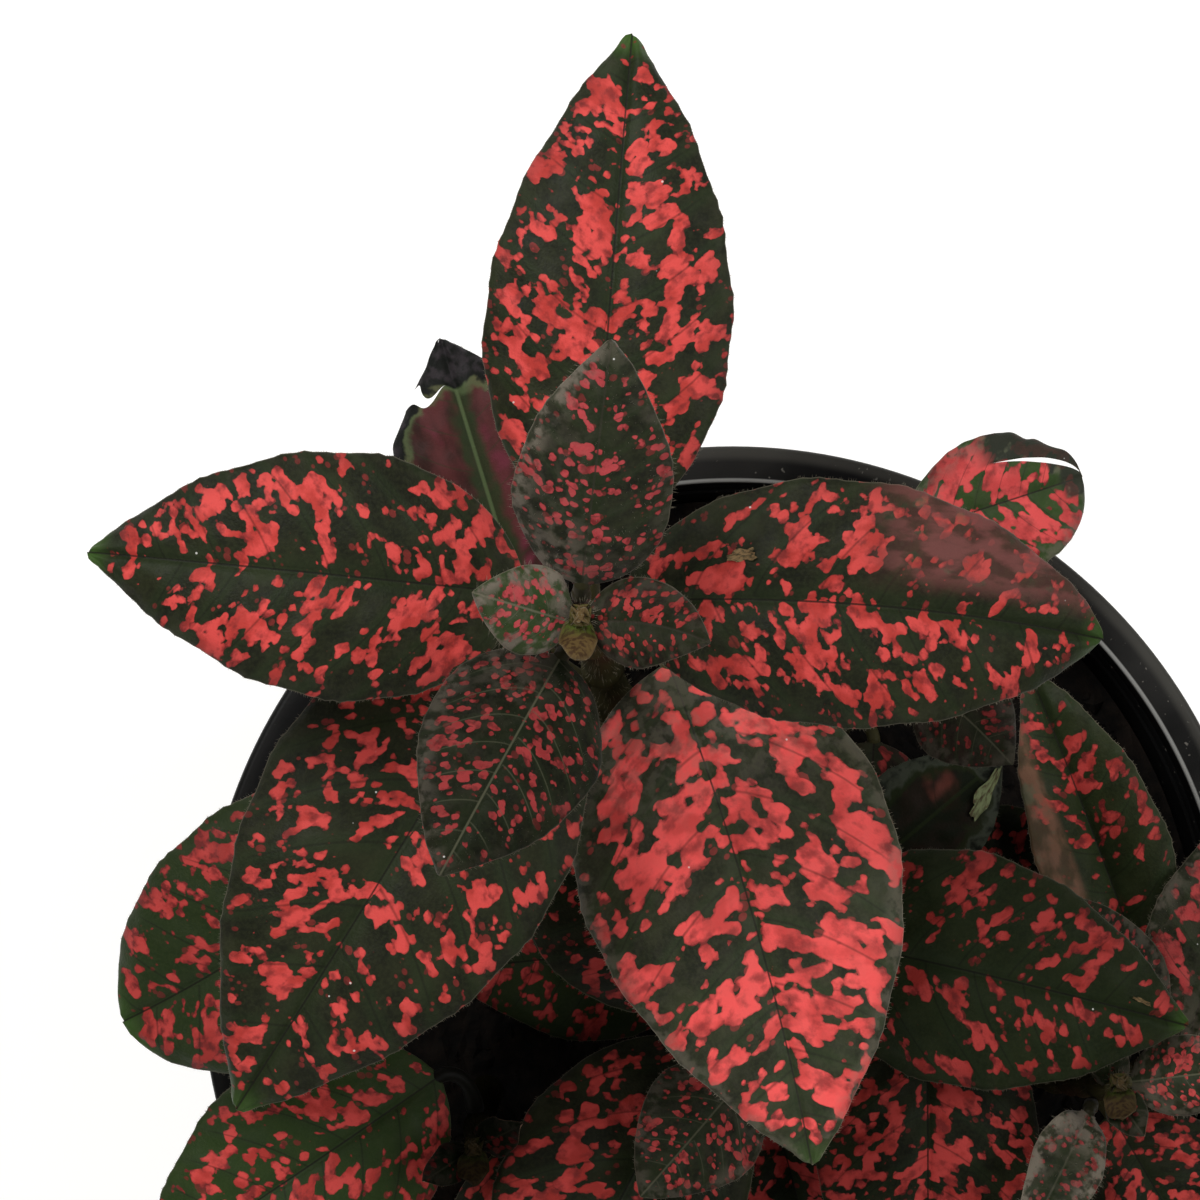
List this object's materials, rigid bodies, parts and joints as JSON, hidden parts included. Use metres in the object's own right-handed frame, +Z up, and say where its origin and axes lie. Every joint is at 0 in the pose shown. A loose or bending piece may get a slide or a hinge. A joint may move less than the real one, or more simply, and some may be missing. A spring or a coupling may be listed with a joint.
{
  "type": "potted polka dot plant",
  "caption": "Round nursery pot of soil with low, bushy stems of pointed oval leaves, dark green and splashed with coral red, spreading past the rim.",
  "frame": {"origin": "centre of the pot's flat underside, on the surface that it stands on", "axes": "+Z up along the pot's axis; +X to the right and +Y to the top of the picture, which looks straight down"},
  "size_m": [0.1437, 0.1946, 0.1844],
  "materials": {
    "pot": "satin",
    "soil": "matte",
    "stem": "matte",
    "leaf": "satin",
    "young_leaf": "satin",
    "old_leaf": "matte"
  },
  "bodies": {
    "root": {"leaf_a2_down": "young_leaf", "leaf_a2_up": "young_leaf", "leaf_a3_left": "leaf", "leaf_a3_right": "leaf", "leaf_a4_down": "leaf", "leaf_a4_up": "leaf", "leaf_a5_left": "leaf", "leaf_a5_right": "leaf", "leaf_a6_down": "leaf", "leaf_a6_up": "old_leaf", "leaf_b2_left": "leaf", "leaf_b2_right": "leaf", "leaf_b3_down": "leaf", "leaf_b3_up": "old_leaf", "leaf_b4_left": "leaf", "leaf_b4_right": "leaf", "leaf_c1_left": "young_leaf", "leaf_c2_left": "leaf", "leaf_c2_right": "leaf", "leaf_d2_left": "young_leaf", "leaf_d2_right": "young_leaf", "leaf_d3_down": "leaf", "leaf_d3_up": "leaf", "leaf_d4_left": "leaf", "leaf_d4_right": "leaf", "leaf_e1_left": "leaf", "leaf_e1_right": "leaf", "leaf_f2_left": "young_leaf", "leaf_f2_right": "young_leaf", "leaf_f3_down": "leaf", "leaf_f3_up": "leaf", "leaf_f4_left": "leaf", "leaf_f4_right": "leaf", "leaf_g1_left": "young_leaf", "leaf_g1_right": "young_leaf", "leaf_g2_down": "leaf", "leaf_g2_up": "young_leaf", "leaf_g3_right": "leaf", "leaf_g3_up": "leaf", "leaf_h1_left": "young_leaf", "leaf_h1_right": "young_leaf", "leaf_h2_down": "leaf", "leaf_h2_right": "leaf", "pot": "pot", "soil": "soil", "stem_a": "stem", "stem_b": "stem", "stem_c": "stem", "stem_d": "stem", "stem_e": "stem", "stem_f": "stem", "stem_g": "stem", "stem_h": "stem"}
  },
  "joints": []
}
